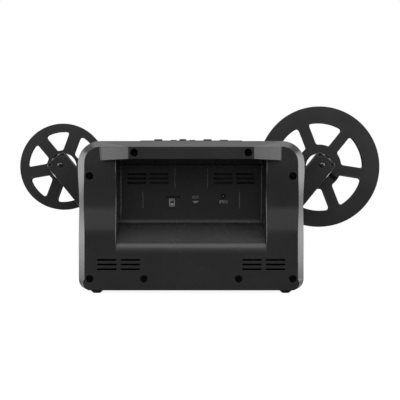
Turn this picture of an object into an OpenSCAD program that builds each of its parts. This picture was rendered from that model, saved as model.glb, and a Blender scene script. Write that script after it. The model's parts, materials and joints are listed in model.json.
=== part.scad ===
// Desktop film scanner with two folding reel arms, in millimetres.
// The back of the body, with its port recess and grip bar, faces +Y. The film runs along X at the front.

/* [Body] */
// Width of the body at its widest outline
body_w = 310; // [300:1:330]
// Height of the body's top above the table
body_top = 209.4; // [207:0.1:216]
// Height of the rubber feet
foot_h = 4.3; // [3:0.1:6]
// Radius of the two upper corners of the outline
top_r = 31; // [26:0.5:34]
// Radius of the two lower corners of the outline
bottom_r = 15; // [13.5:0.5:18]
// Thickness of the moulded walls
wall = 2.5; // [2:0.1:3]
// Width of the bevelled rim round the back
rim_w = 9.5; // [7:0.1:10.5]
// Width of the rim at the waist of the columns
rim_waist_w = 7.4; // [6:0.1:9]
// How much wider the outline is at the shoulders than at the parting line
side_swell = 1.3; // [0:0.1:2]
// Distance from the widest outline forward to the joint between the covers
parting_y = 14; // [12:0.5:18]

/* [Back profile] */
// How far the columns stand out near the top
shoulder_y = 14.5; // [12:0.5:17]
// How far the columns stand out at their waist
waist_y = 5; // [3.5:0.5:8]
// How far the lower face stands out
skirt_y = 12; // [9:0.5:14]
// Height where the columns start to draw in
shoulder_z = 175; // [165:1:178]
// Height of the waist
waist_z = 123.5; // [114:0.5:128]
// Height where the lower face turns upright
skirt_z = 78.5; // [74:0.5:88]

/* [Port recess] */
// Width of a column beside the recess, from the widest outline
column_w = 53; // [52:0.5:57]
// Distance from the widest outline forward to the back wall of the recess
recess_d = 53; // [48:0.5:54]
// Height of the recess roof, which is the underside of the grip bar
recess_top = 181.2; // [179:0.1:183]
// Height where the ramp would meet the back wall
ramp_back_z = 94; // [88:1:98]
// Height where the ramp would meet the lower face
lip_z = 69.5; // [66:0.5:72]
// Length of the hollow bend at the foot of the back wall
ramp_bend = 11; // [6:0.5:12]
// Length of the round bend at the lip
lip_bend = 15; // [10:0.5:16]
// Depth of the sunk port panel
panel_sink = 0.5; // [0.3:0.1:0.8]

/* [Grip bar] */
// How far the grip bar stands out
bar_y = 34; // [28:0.5:38]
// Width of the bar's flat back
bar_flat_w = 168; // [160:1:180]
// Width of the bar with its slanted ends
bar_end_w = 248; // [240:1:256]
// Height of the bar's back upper edge
bar_rim_z = 197.5; // [195.5:0.1:199]

/* [Front] */
// Distance forward to the arm bays
bay_y = 45.5; // [44:0.5:46]
// Distance forward to the display face
front_y = 72; // [70:0.5:73]
// Distance forward to the front of the film deck
deck_y = 99; // [97:0.5:106]
// Height of the film deck
deck_top = 48; // [46:0.5:50]
// Width of the bay beside the display housing, which takes a folded arm
bay_w = 47; // [46:0.5:48]
// Height of the display housing
housing_top = 205; // [203:0.5:206]
// Width of the film deck
deck_w = 300; // [294:1:300]
// Width of the display glass
glass_w = 130; // [124:1:136]
// Height of the display glass
glass_h = 84; // [78:1:88]
// Height of the display's centre
display_z = 140; // [136:1:144]
// Thickness of the display glass
glass_t = 1.5; // [1:0.1:1.7]

/* [Reels] */
// Diameter of the take-up reel
take_up_d = 177.8; // [170:0.1:178]
// Diameter of the supply reel
supply_d = 127; // [120:0.1:150]
// Outside width of a reel
reel_t = 12; // [11:0.5:13]
// Thickness of a reel flange
flange_t = 1.2; // [1:0.1:1.5]
// Radius of the open centre of a reel
hub_open_r = 19.7; // [18:0.1:20.9]
// Outer radius of the take-up reel's core
take_up_core_r = 32; // [29:0.5:33]
// Outer radius of the supply reel's core
supply_core_r = 23.4; // [22.9:0.1:23.6]
// Distance forward from the widest outline to the reels
reel_y = 75; // [75:0.5:77]
// Radius of a reel spindle
spindle_r = 4; // [3.5:0.1:4.4]

/* [Arms] */
// Distance from the arm pivot to the reel axis
arm_l = 94; // [92:0.5:98]
// Angle of the unfolded arms above level
arm_tilt = 51.1; // [46:0.1:56]
// Width of an arm
arm_w = 32; // [31:0.5:34]
// Distance forward to the back of the arms
arm_y = 49; // [48.5:0.5:49.5]
// Thickness of an arm
arm_t = 22; // [21:0.5:22.5]
// Length of the arm past the reel axis
arm_end = 13; // [12.5:0.5:15]
// Radius of the arm's end corners
arm_corner_r = 4.5; // [3:0.5:6]
// Wall of the arm housing
arm_wall = 2; // [1.6:0.1:2.4]
// Distance of the arm pivot from the side of the body
pivot_inset = 25; // [24:0.5:27]
// Height of the arm pivot
pivot_z = 108; // [104:0.5:112]
// Radius of the pivot shaft
pivot_r = 5; // [4:0.5:6]

/* [Film path] */
// Height of the film above the deck
film_lift = 3; // [2.5:0.1:3.5]
// Width of the film channel
film_w = 8.3; // [8.1:0.1:9]
// Radius of a film roller
roller_r = 5; // [4.5:0.1:5.5]
// Radius of a roller pin
roller_pin_r = 2; // [1.5:0.1:2.4]
// Distance of the inner film rollers from the centre
roller_in_x = 54; // [53:0.5:60]
// Distance of the outer film rollers in from the sides of the display housing
roller_edge = 10; // [8:0.5:28]
// Half width of the film gate
gate_half = 44; // [42:0.5:45]
// Height of the gate door
door_t = 8; // [7.5:0.1:8.4]
// Radius of the gate's hinge pin
hinge_r = 1.25; // [1:0.05:1.5]

/* [Buttons] */
// Width of the raised button panel
key_panel_w = 143; // [139:1:150]
// Depth of the raised button panel
key_panel_d = 30; // [29:0.5:30.5]
// Thickness of the button panel
key_panel_t = 2.6; // [2:0.1:3]
// Height of the flat keys above the panel
key_h = 3; // [2.4:0.1:3.6]
// Height of the pad keys above the panel
pad_h = 2.2; // [1.8:0.1:2.8]
// Distance between the pad keys
pad_pitch = 10.5; // [10.3:0.1:10.6]
// Travel of a key
key_travel = 0.8; // [0.5:0.1:0.8]

/* [Screws and fits] */
// Radius of the screw wells in the back
well_r = 5.35; // [4.5:0.05:5.4]
// Radius of the case screws
screw_r = 1.5; // [1.25:0.05:1.75]
// Radius of the screw heads
screw_head_r = 3; // [2.5:0.1:3.6]
// Radial clearance of shafts and pins
run_gap = 0.05; // [0.03:0.01:0.08]
// Clearance round loose and sliding pieces
slip = 0.2; // [0.15:0.01:0.3]

/* [Hidden] */
$fn = 48;
half_w = body_w / 2;
housing_w = body_w - 2 * bay_w;
recess_w = body_w - 2 * column_w;
roller_out_x = housing_w / 2 - roller_edge;
beyond = 20;
shift_x = (take_up_d - supply_d) / 4;
shift_y = (deck_y - bar_y) / 2;
pivot_x = half_w - pivot_inset;
reel_x = pivot_x + arm_l * cos(arm_tilt);
reel_z = pivot_z + arm_l * sin(arm_tilt);
arm_front = arm_y + arm_t;
film_y = reel_y + reel_t / 2;
film_z = deck_top + film_lift;
channel_top = film_z + 0.5;
board_y = recess_d + wall + 6;
board_t = 1.6;
board_half = 56;
board_low = 32;
board_high = 11;
standoff_in = [6, 4];
standoff_r = 3;
seat_y = parting_y - 6;
boss_r = 5;
screw_l = 22;
screw_bore_l = screw_l + 2;
bar_well_in = 7.8;
bar_well_up = 8.4;
side_well_in = 16.5;
side_well_z = 160;
low_well_x = 64.6;
low_well_z = 19.8;
upper_screws = [
    [bar_flat_w / 2 - bar_well_in, recess_top + bar_well_up, front_y - wall],
    [half_w - side_well_in, side_well_z, bay_y - wall]
];
lower_screws = [[half_w - side_well_in, low_well_z, deck_y - wall], [low_well_x, low_well_z, deck_y - wall]];
screws = concat(upper_screws, lower_screws);
foot_x = half_w - 24.7;
foot_r = 9.6;
foot_base_r = 4.6;
foot_rows = [3, deck_y - 11];
card_at = [24.9, 135.3];
card_half = [12.6, 1.4];
usb_at = [-6.2, 135];
usb_half = [4.6, 1.9];
dc_at = [-46.5, 136.2];
dc_r = 3.6;
port_panel_half = 69.5;
port_panel_z = [119, 145];
plate_half = 23.3;
plate_top = 177.7;
hinge_y = front_y + 4.5;
hinge_z = channel_top + 5;
door_half = gate_half - 4;
key_ledge = 0.9;
key_y = parting_y + key_panel_d / 2 + 0.3;
key_base = body_top;
pad_x = 11.7;
claw_pitch = 4.2;
claw_x = 9;
claw_tip = 1.2;
claw_half = 4;
claw_t = 1.2;
claw_y = film_y + 3.2;
claw_z = deck_top - 6;
crank_x = 35;
motor_z = foot_h + 3.7;
claw_motor_r = 10;
camera_up = 12.1;
camera_z = foot_h + camera_up;
claw_guide = [5, 19];
key_board_in = 9.5;
roller_z = film_z + roller_r + slip;
roller_boss_l = 6;
roller_places = [-roller_out_x, -roller_in_x, roller_in_x, roller_out_x];

// Helpers: solids between two distances forward of the widest outline, and boxes between limits

module forward(near, far) translate([0, -near, 0]) rotate([90, 0, 0]) linear_extrude(far - near) children();

module rod(at, near, far, r)
    translate([at[0], -near, at[1]]) rotate([90, 0, 0]) cylinder(r = r, h = far - near);

module across(x0, x1) translate([x0, 0, 0]) rotate([90, 0, 90]) linear_extrude(x1 - x0) children();

module box(x, y, z) translate([x[0], -y[1], z[0]]) cube([x[1] - x[0], y[1] - y[0], z[1] - z[0]]);

module both() {
    children();
    mirror([1, 0, 0]) children();
}

module round_plate(w, z0, z1, r_low, r_high) {
    translate([-w / 2, z0 + r_low]) square([w, z1 - z0 - r_low - r_high]);
    translate([-w / 2 + r_low, z0]) square([w - 2 * r_low, z1 - z0 - r_high]);
    translate([-w / 2 + r_high, z0 + r_low]) square([w - 2 * r_high, z1 - z0 - r_low]);
    for (s = [-1, 1]) {
        translate([s * (w / 2 - r_low), z0 + r_low]) circle(r_low);
        translate([s * (w / 2 - r_high), z1 - r_high]) circle(r_high);
    }
}

function bend(a, b, c, n) = [for (i = [0:n])
    let (t = i / n) (1 - t) * (1 - t) * a + 2 * t * (1 - t) * b + t * t * c];

function polar(r, a) = [r * cos(a), r * sin(a)];

function span(at, low, high) = [at + low, at + high];

function about(at, half) = span(at, -half, half);

// Back skin: rings of the outline, drawn in by the rim and pushed out to the column profile

// A rise from 0 to 1 that is eased in and out over a share e of its length
function ease(t, e) =
    t < e ? t * t / (2 * e * (1 - e))
    : t < 1 - e ? (t - e / 2) / (1 - e)
    : 1 - (1 - t) * (1 - t) / (2 * e * (1 - e));

ease_high = 0.4;
ease_low = 0.24;

// A value that runs from the skirt through the waist to the shoulder
function drawn_in(z, shoulder, waist, skirt) =
    z >= shoulder_z ? shoulder
    : z >= waist_z ? waist + (shoulder - waist) * ease((z - waist_z) / (shoulder_z - waist_z), ease_high)
    : z >= skirt_z ? waist + (skirt - waist) * ease((waist_z - z) / (waist_z - skirt_z), ease_low)
    : skirt;

function back_y(z) = drawn_in(z, shoulder_y, waist_y, skirt_y);

function swell_at(z) = drawn_in(z, side_swell, -side_swell / 2, 0);

function rim_at(z) = drawn_in(z, rim_w, rim_waist_w, rim_w);

corner_steps = 8;
low_steps = 8;
high_steps = 10;
side_levels = concat(
    [for (i = [0:low_steps]) skirt_z + (waist_z - skirt_z) * i / low_steps],
    [for (i = [1:high_steps]) waist_z + (shoulder_z - waist_z) * i / high_steps]
);
outline = concat(
    [for (i = [0:corner_steps]) let (f = i / corner_steps)
        [half_w - bottom_r, foot_h + bottom_r, bottom_r, 90 * f - 90, f]],
    [for (z = side_levels) [half_w - bottom_r, z, bottom_r, 0, 1]],
    [for (i = [0:corner_steps]) let (f = i / corner_steps)
        [half_w - top_r, body_top - top_r, top_r, 90 * f, 1]]
);

function flank_ring(inset) = [for (p = outline) [p[0], p[1]] + polar(p[2] - inset, p[3])];

function edge_ring(inset) = [for (p = outline) [p[0] + swell_at(p[1]), p[1]] + polar(p[2] - inset, p[3])];

function crest_ring(inset) = [for (p = outline)
    [p[0], p[1]] + polar(p[2] - inset - rim_at(p[1]) * p[4], p[3])];

function full_ring(half, ys) = let (n = len(half)) concat(
    [for (i = [0:n - 1]) [half[i][0], ys[i], half[i][1]]],
    [for (i = [n - 1:-1:0]) [-half[i][0], ys[i], half[i][1]]]
);

module back_skin(inset, front) {
    n = len(outline);
    flank = flank_ring(inset);
    edge = edge_ring(inset);
    crest = crest_ring(inset);
    points = concat(
        full_ring(flank, [for (p = flank) -front]),
        full_ring(edge, [for (p = edge) 0]),
        full_ring(crest, [for (p = crest) back_y(p[1]) - inset])
    );
    m = 2 * n;
    walls = [for (k = [0:1], i = [0:m - 1]) let (a = k * m + i, b = k * m + (i + 1) % m)
        each [[a, b, b + m], [a, b + m, a + m]]];
    cap = [for (i = [0:n - 2]) let (a = 2 * m + i, b = 3 * m - 1 - i)
        each [[a, a + 1, b - 1], [a, b - 1, b]]];
    front_face = [for (i = [m - 1:-1:0]) i];
    polyhedron(points, concat(walls, cap, [front_face]));
}

// Grip bar: a flat back with slanted ends, tucked into the skin under the top rim

module grip_bar(inset) {
    tuck = 0.6;
    sink = 0.2;
    half = [
        [bar_flat_w / 2 - inset / 4, bar_y - inset, recess_top + inset],
        [bar_flat_w / 2 - inset / 4, bar_y - inset, bar_rim_z - inset],
        [bar_end_w / 2 - inset, shoulder_y - sink - inset, recess_top + inset],
        [bar_end_w / 2 - inset, shoulder_y - sink - inset, body_top - rim_w - sink - inset],
        [bar_end_w / 2 - inset, tuck, body_top - 1.5 * tuck - inset],
        [bar_end_w / 2 - inset, tuck, recess_top + inset]
    ];
    points = concat(half, [for (p = half) [-p[0], p[1], p[2]]]);
    polyhedron(points, [
        [0, 1, 7, 6], [1, 4, 10, 7], [1, 3, 4], [7, 10, 9], [0, 2, 3, 1], [6, 7, 9, 8],
        [2, 5, 4, 3], [8, 9, 10, 11], [0, 6, 8, 11, 5, 2], [5, 11, 10, 4]
    ]);
}

module back_form(inset, front) {
    back_skin(inset, front);
    grip_bar(inset);
}

// Port recess: the hollow under the bar, and the tub of walls round it

ramp_slope = (lip_z - ramp_back_z) / (skirt_y + recess_d);
bend_steps = 10;

function ramp_at(y) = ramp_back_z + ramp_slope * (y + recess_d);

module recess_hollow() {
    graze = 0.05;
    lip = skirt_y + graze;
    far = bar_y + beyond;
    profile = concat(
        bend([-recess_d, ramp_back_z + ramp_bend], [-recess_d, ramp_back_z],
            [ramp_bend - recess_d, ramp_at(ramp_bend - recess_d)], bend_steps),
        bend([lip - lip_bend, ramp_at(lip - lip_bend)], [lip, ramp_at(lip)],
            [lip, lip_z - lip_bend], bend_steps),
        [[far, lip_z - lip_bend], [far, recess_top], [-recess_d, recess_top]]
    );
    across(-recess_w / 2, recess_w / 2) polygon(profile);
}

module recess_tub(reach) {
    drop = 1.1 * wall;
    back = -recess_d - wall;
    knee = skirt_y - lip_bend;
    sill = lip_z - lip_bend - wall;
    foot = [[knee, ramp_at(knee) - drop], [skirt_y - wall / 2, sill], [reach, sill]];
    low = reach > knee ? foot : [[reach, ramp_at(reach) - drop]];
    roof = recess_top + wall;
    profile = concat([[back, roof], [back, ramp_back_z - drop]], low, [[reach, roof]]);
    across(-recess_w / 2 - wall, recess_w / 2 + wall) polygon(profile);
}

// Vents: two blocks of three slots on each side, in the lower face and in the back wall

vent_t = 2.8;
vent_step = 6.4;
vent_w = 26.5;
vent_gap = 5.7;
vent_low_in = 85.4;
vent_low_z = 45.7;
vent_high_in = 68.6;
vent_high_z = 168.2;

module vents(inner_x, top_z, near, far) {
    both() for (col = [0, 1], row = [0:2])
        let (x = inner_x + col * (vent_w + vent_gap), z = top_z - row * vent_step)
            box([x, x + vent_w], [near, far], [z - vent_t / 2, z + vent_t / 2]);
}

module rear_cover() color([0.16, 0.16, 0.165]) {
    over = 1;
    lap = 0.1;
    far = bar_y + beyond;
    wall_near = recess_d - over;
    wall_far = recess_d + wall + over;
    standoff_x = board_half - standoff_in[0];
    standoff_z = [display_z - board_low + standoff_in[1], display_z + board_high - standoff_in[1]];
    standoffs = [for (x = [-standoff_x, standoff_x], z = standoff_z) [x, z]];
    difference() {
        union() {
            back_form(0, parting_y);
            recess_tub(2 - parting_y);
            for (p = standoffs) rod(p, recess_d + wall / 2, board_y, standoff_r);
        }
        difference() {
            back_form(wall, parting_y + over);
            recess_tub(far);
            both() for (s = screws) rod(s, -far, parting_y, well_r + wall);
        }
        recess_hollow();
        both() for (s = screws) {
            rod(s, -far, seat_y, well_r);
            rod(s, seat_y - over, parting_y + over, screw_r + slip);
        }
        vents(half_w - vent_low_in, vent_low_z, -skirt_y - over, wall - skirt_y + over);
        vents(recess_w / 2 - vent_high_in, vent_high_z, wall_near, wall_far);
        box(about(0, port_panel_half), [wall_near, recess_d + panel_sink], port_panel_z);
        box(about(0, plate_half), [wall_near, recess_d + panel_sink], [port_panel_z[1] - lap, plate_top]);
        box(about(card_at[0], card_half[0]), [wall_near, wall_far], about(card_at[1], card_half[1]));
        box(about(usb_at[0], usb_half[0]), [wall_near, wall_far], about(usb_at[1], usb_half[1]));
        rod(dc_at, wall_near, wall_far, dc_r);
    }
}

// Front cover: the tray of the body and the display housing on it, hollowed as one shell

module front_form(inset) {
    open = inset > 0 ? 1 : 0;
    lap = 5;
    forward(parting_y - open, bay_y - inset)
        round_plate(body_w - 2 * inset, foot_h + inset, body_top - inset, bottom_r - inset, top_r - inset);
    forward(parting_y + lap, front_y - inset)
        round_plate(housing_w - 2 * inset, deck_top + inset, housing_top - inset, 5 - inset, 14 - inset);
}

module front_cover() color([0.17, 0.17, 0.175]) {
    over = 1;
    glass_lip = 9;
    difference() {
        union() {
            difference() {
                front_form(0);
                front_form(wall);
            }
            both() for (s = upper_screws) rod(s, parting_y, s[2] + wall / 2, boss_r);
            both() rod([pivot_x, pivot_z], bay_y - wall / 2, arm_y - slip, 15);
            for (x = roller_places)
                rod([x, roller_z], front_y - wall - roller_boss_l, front_y - wall / 2, roller_pin_r + wall);
        }
        both() for (s = upper_screws) rod(s, parting_y - over, parting_y + screw_bore_l, screw_r + run_gap);
        both() rod([pivot_x, pivot_z], bay_y - 2 * wall, arm_y + over, pivot_r + run_gap);
        for (x = roller_places)
            rod([x, roller_z], front_y - wall - roller_boss_l - over, front_y + over, roller_pin_r + run_gap);
        box(about(0, glass_w / 2 + slip), [front_y - glass_t, front_y + over],
            about(display_z, glass_h / 2 + slip));
        box(about(0, glass_w / 2 - glass_lip), [front_y - wall - over, front_y + over],
            about(display_z, glass_h / 2 - glass_lip));
        box(about(0, key_panel_w / 2 - 10), about(key_y, key_panel_d / 2 - key_ledge),
            [body_top - wall - over, body_top + over]);
        box(about(0, deck_w / 2 - 5), [bay_y - wall - over, bay_y + over], [foot_h + 5, deck_top - 4]);
    }
}

// Film deck: the low box across the front that carries the film gate and holds the camera

module deck_form(inset) {
    open = inset > 0 ? 1 : 0;
    forward(bay_y - open, deck_y - inset)
        round_plate(deck_w - 2 * inset, foot_h + inset, deck_top - inset, 10 - inset, 6 - inset);
}

module film_deck() color([0.15, 0.15, 0.155]) {
    over = 1;
    sill = 8;
    post_x = 12;
    floor_z = foot_h + wall / 2;
    difference() {
        union() {
            difference() {
                deck_form(0);
                deck_form(wall);
            }
            both() for (s = lower_screws) rod(s, parting_y, s[2] + wall / 2, boss_r);
            for (x = [-post_x, post_x])
                translate([x, -film_y, floor_z]) cylinder(r = standoff_r, h = camera_z - floor_z);
            translate([crank_x, -claw_y, floor_z]) cylinder(r = claw_motor_r - 1, h = motor_z - floor_z);
        }
        both() for (s = lower_screws) rod(s, parting_y - over, parting_y + screw_bore_l, screw_r + run_gap);
        box(about(0, gate_half - sill), [front_y + 2.5, deck_y - 6],
            [deck_top - wall - over, deck_top + over]);
    }
}

module rubber_feet() color([0.06, 0.06, 0.06]) both() for (y = foot_rows)
    translate([foot_x, -y, 0]) cylinder(r1 = foot_base_r, r2 = foot_r, h = foot_h);

module case_screws() color("silver") both() for (s = screws) {
    rod(s, seat_y - 2.4, seat_y, screw_head_r);
    rod(s, seat_y, parting_y + screw_l, screw_r);
}

// Display and electronics

module display_glass() color([0.04, 0.04, 0.05])
    box(about(0, glass_w / 2), [front_y - glass_t, front_y], about(display_z, glass_h / 2));

lcd_in = 4;
lcd_t = 4.5;

module lcd_module() color([0.3, 0.32, 0.34])
    box(about(0, glass_w / 2 - lcd_in), [front_y - wall - lcd_t, front_y - wall],
        about(display_z, glass_h / 2 - lcd_in));

module main_board() color([0.05, 0.3, 0.15])
    box(about(0, board_half), [board_y, board_y + board_t], span(display_z, -board_low, board_high));

port_sink = 0.7;
port_floor = 1;

module socket(at, outer, inner, near) difference() {
    box(about(at[0], outer[0]), [near, board_y], about(at[1], outer[1]));
    box(about(at[0], inner[0]), [recess_d, board_y - port_floor], about(at[1], inner[1]));
}

module card_socket() color("silver")
    socket(card_at, card_half + [1.4, 1], card_half - [0.4, 0.3], recess_d + wall);

module usb_socket() color("silver")
    socket(usb_at, usb_half - [0.4, 0.3], usb_half - [1, 0.9], recess_d + port_sink);

module dc_jack() color([0.1, 0.1, 0.1]) {
    pin_r = 0.8;
    pin_sink = 1.5;
    difference() {
        rod(dc_at, recess_d + port_sink, board_y, dc_r - slip);
        rod(dc_at, recess_d, board_y - port_floor, dc_r - slip - 0.7);
    }
    rod(dc_at, recess_d + pin_sink, board_y, pin_r);
}

// Keys on top: a raised panel, its keys with flanges below it, and the board that they press

module key_hole(at, size) translate([at[0] - size[0] / 2, -at[1] - size[1] / 2, key_base - 1])
    cube([size[0], size[1], key_panel_t + 2]);

flat_keys = [46.5, -23, -46];
flat_size = [11.6, 11.6];
pad_side = [8.6, 9];
pad_end = [9, 5.6];
pad_mid = [10.4, 10.4];
pad_side_x = pad_pitch + 2.8;

module key_panel() color([0.14, 0.14, 0.145]) difference() {
    box(about(0, key_panel_w / 2), about(key_y, key_panel_d / 2), [key_base, key_base + key_panel_t]);
    for (x = flat_keys) key_hole([x, key_y], flat_size + [2, 2] * slip);
    for (s = [-1, 1]) {
        key_hole([pad_x + s * pad_side_x, key_y], pad_side + [2, 2] * slip);
        key_hole([pad_x, key_y + s * pad_pitch], pad_end + [2, 2] * slip);
    }
    translate([pad_x, -key_y, key_base - 1]) cylinder(r = pad_mid[0] / 2 + slip, h = key_panel_t + 2);
}

switch_top = body_top - 8;

module key_stem(at) {
    stem_r = 1.5;
    translate([at[0], -at[1], switch_top + key_travel + slip / 2])
        cylinder(r = stem_r, h = key_base - 1.5 - switch_top - key_travel - slip / 2);
}

module square_key(at, size, height) {
    skirt = 0.5;
    translate([at[0] - size[0] / 2, -at[1] - size[1] / 2, key_base - slip])
        cube([size[0], size[1], key_panel_t + height + slip]);
    translate([at[0] - size[0] / 2 - skirt, -at[1] - size[1] / 2 - skirt, key_base - slip - 1.5])
        cube([size[0] + 2 * skirt, size[1] + 2 * skirt, 1.5]);
    key_stem(at);
}

module power_key() color([0.1, 0.1, 0.1]) square_key([flat_keys[0], key_y], flat_size, key_h);
module menu_key() color([0.1, 0.1, 0.1]) square_key([flat_keys[1], key_y], flat_size, key_h);
module record_key() color([0.1, 0.1, 0.1]) square_key([flat_keys[2], key_y], flat_size, pad_h);
module pad_left_key() color([0.1, 0.1, 0.1]) square_key([pad_x + pad_side_x, key_y], pad_side, pad_h);
module pad_right_key() color([0.1, 0.1, 0.1]) square_key([pad_x - pad_side_x, key_y], pad_side, pad_h);
module pad_rear_key() color([0.1, 0.1, 0.1]) square_key([pad_x, key_y - pad_pitch], pad_end, pad_h);
module pad_front_key() color([0.1, 0.1, 0.1]) square_key([pad_x, key_y + pad_pitch], pad_end, pad_h);

module pad_ok_key() color([0.1, 0.1, 0.1]) {
    r = pad_mid[0] / 2;
    translate([pad_x, -key_y, key_base - slip]) cylinder(r = r, h = key_panel_t + key_h + slip);
    translate([pad_x, -key_y, key_base - slip - 1.5]) cylinder(r = r + 0.5, h = 1.5);
    key_stem([pad_x, key_y]);
}

module key_board() color([0.05, 0.3, 0.15]) {
    spots = concat(
        [for (x = flat_keys) [x, key_y]],
        [for (s = [-1, 1]) each [[pad_x + s * pad_side_x, key_y], [pad_x, key_y + s * pad_pitch]]],
        [[pad_x, key_y]]
    );
    half = [key_panel_w / 2 - key_board_in, key_panel_d / 2 - 1];
    switch_half = 2;
    lap = 0.1;
    under = switch_top - 2.7;
    post_x = half[0] - 6;
    box(about(0, half[0]), about(key_y, half[1]), [under - board_t, under]);
    for (p = spots) box(about(p[0], switch_half), about(p[1], switch_half), [under - lap, switch_top]);
    for (x = [-post_x, post_x])
        translate([x, -key_y, under - lap]) cylinder(r = standoff_r, h = body_top - wall - under + lap);
}

// Film gate: the channel plate on the deck, the hinged door with its light, and the camera below

module film_channel() color([0.12, 0.12, 0.125]) {
    front = deck_y - 4;
    ear = 3;
    lap = 0.1;
    over = 1;
    guide = span(claw_x, claw_guide[0], claw_guide[1]);
    aperture_half = [3.3, 2.6];
    claw_slot = [claw_x - 0.7, claw_x + claw_tip + claw_pitch + 0.9];
    difference() {
        union() {
            box([-gate_half, gate_half], [front_y + 0.5, front], [deck_top, channel_top]);
            both() box([gate_half - ear, gate_half], [front_y + 0.8, hinge_y + 3], [deck_top, hinge_z + 3]);
            box(guide, span(claw_y, -6, 5), [claw_z - 2, deck_top + lap]);
        }
        box(about(0, gate_half + over), about(film_y, film_w / 2), [film_z, channel_top + over]);
        box(about(0, aperture_half[0]), about(film_y, aperture_half[1]),
            [deck_top - over, channel_top + over]);
        box(claw_slot, about(claw_y, 0.9), [claw_z - 4, channel_top + over]);
        box([guide[0] - over, guide[1] + over], about(claw_y, claw_half + slip),
            span(claw_z, -0.15, claw_t + 0.15));
        translate([-gate_half - over, -hinge_y, hinge_z]) rotate([0, 90, 0])
            cylinder(r = hinge_r + run_gap / 2, h = 2 * (gate_half + over));
    }
}

module gate_hinge_pin() color("silver")
    translate([-gate_half, -hinge_y, hinge_z]) rotate([0, 90, 0]) cylinder(r = hinge_r, h = 2 * gate_half);

led_half = [8.3, 5.3];
door_base = channel_top + 0.4;

module gate_door() color([0.15, 0.15, 0.155]) {
    front = deck_y - 3;
    knuckle = 3.9;
    difference() {
        union() {
            box([-door_half, door_half], [hinge_y + knuckle, front], [door_base, door_base + door_t]);
            box(about(0, door_half), [hinge_y, hinge_y + knuckle + 1],
                [hinge_z - knuckle, door_base + door_t]);
            translate([-door_half, -hinge_y, hinge_z]) rotate([0, 90, 0])
                cylinder(r = knuckle, h = 2 * door_half);
            box(about(0, 9), [front - 1, front + 2.5], span(door_base + door_t, -3, 0));
        }
        translate([-door_half - 1, -hinge_y, hinge_z]) rotate([0, 90, 0])
            cylinder(r = hinge_r + run_gap, h = 2 * door_half + 2);
        box(about(0, led_half[0] + slip), about(film_y, led_half[1] + slip), span(door_base, -1, 3.2));
    }
}

module light_diffuser() color("white")
    box(about(0, led_half[0]), about(film_y, led_half[1]), span(door_base, 0, 2));

module led_board() color([0.05, 0.3, 0.15])
    box(about(0, led_half[0]), about(film_y, led_half[1]), span(door_base, 2, 3.2));

barrel_r = 7;
barrel_l = 22;
lens_up = 19.5;

module camera_board() color([0.05, 0.3, 0.15])
    box(about(0, 17), about(film_y, 13), span(camera_z, 0, board_t));

module camera_barrel() color([0.08, 0.08, 0.08]) translate([0, -film_y, camera_z + board_t]) difference() {
    cylinder(r = barrel_r, h = barrel_l);
    translate([0, 0, -1]) cylinder(r = barrel_r - 3, h = barrel_l + 2);
    translate([0, 0, lens_up]) cylinder(r = barrel_r - 2, h = barrel_l - lens_up + 0.5);
}

module camera_lens() color([0.3, 0.35, 0.45]) translate([0, -film_y, camera_z + board_t + lens_up])
    cylinder(r = barrel_r - 2 - run_gap, h = 1.5);

// Film claw: a motor turns a crank below the sliding claw plate

module claw_motor() color("silver") translate([crank_x, -claw_y, motor_z]) difference() {
    cylinder(r = claw_motor_r, h = 26);
    translate([0, 0, 16]) cylinder(r = 1 + run_gap, h = 11);
}

module claw_crank() color("goldenrod") translate([crank_x, -claw_y, 0]) {
    translate([0, 0, 25]) cylinder(r = 1, h = claw_z - 25 - 4.9);
    translate([0, 0, claw_z - 5]) cylinder(r = 5, h = 2.4);
    translate([claw_pitch / 2, 0, claw_z - 3]) cylinder(r = 1, h = 2.7);
}

module film_claw() color("lightgray") difference() {
    union() {
        box([claw_x, crank_x + claw_half], about(claw_y, claw_half), span(claw_z, 0, claw_t));
        box(span(claw_x, 0, claw_tip), about(claw_y, 0.5), [claw_z, film_z + slip]);
    }
    box(about(crank_x, 1.2), about(claw_y, 3.2), span(claw_z, -1, claw_t + 1));
}

// Film rollers on their pins

roller_half = 6.5;

module roller_pins() color("silver") for (x = roller_places) {
    cap_t = 2;
    pin_end = film_y + roller_half + slip + cap_t;
    rod([x, roller_z], front_y - wall - roller_boss_l, pin_end, roller_pin_r);
    rod([x, roller_z], pin_end - cap_t, pin_end, roller_pin_r + 1.4);
}

module film_roller(x) color([0.85, 0.85, 0.83]) difference() {
    union() {
        rod([x, roller_z], film_y - roller_half, film_y + roller_half, roller_r - 0.6);
        rod([x, roller_z], film_y - roller_half, film_y - film_w / 2 - slip, roller_r);
        rod([x, roller_z], film_y + film_w / 2 + slip, film_y + roller_half, roller_r);
    }
    rod([x, roller_z], film_y - roller_half - 1, film_y + roller_half + 1, roller_pin_r + run_gap);
}

module film_roller_1() film_roller(roller_places[0]);
module film_roller_2() film_roller(roller_places[1]);
module film_roller_3() film_roller(roller_places[2]);
module film_roller_4() film_roller(roller_places[3]);

// Reel arms, drawn along +X from the pivot, then tilted into place on either side

pivot_head_r = 8;

module arm_pivots() color("silver") both() {
    rod([pivot_x, pivot_z], bay_y - wall - 2.5, bay_y - wall, pivot_r + 4);
    rod([pivot_x, pivot_z], bay_y - wall - 2.5, arm_front + slip, pivot_r);
    rod([pivot_x, pivot_z], arm_front + slip, arm_front + slip + 1.5, pivot_head_r);
}

module supply_side() translate([pivot_x, 0, pivot_z]) rotate([0, -arm_tilt, 0]) children();

module take_up_side() mirror([1, 0, 0]) supply_side() children();

module arm_outline(inset) {
    r = arm_w / 2 - inset;
    corner = arm_corner_r - inset;
    tip = arm_l + arm_end - inset;
    circle(r);
    translate([0, -r]) square([tip - corner, 2 * r]);
    translate([0, corner - r]) square([tip, 2 * (r - corner)]);
    for (s = [-1, 1]) translate([tip - corner, s * (r - corner)]) circle(corner);
}

arm_screw_at = [arm_l + arm_end - 4.2, arm_w / 2 - 4.4];
arm_cover_t = 2;

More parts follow.
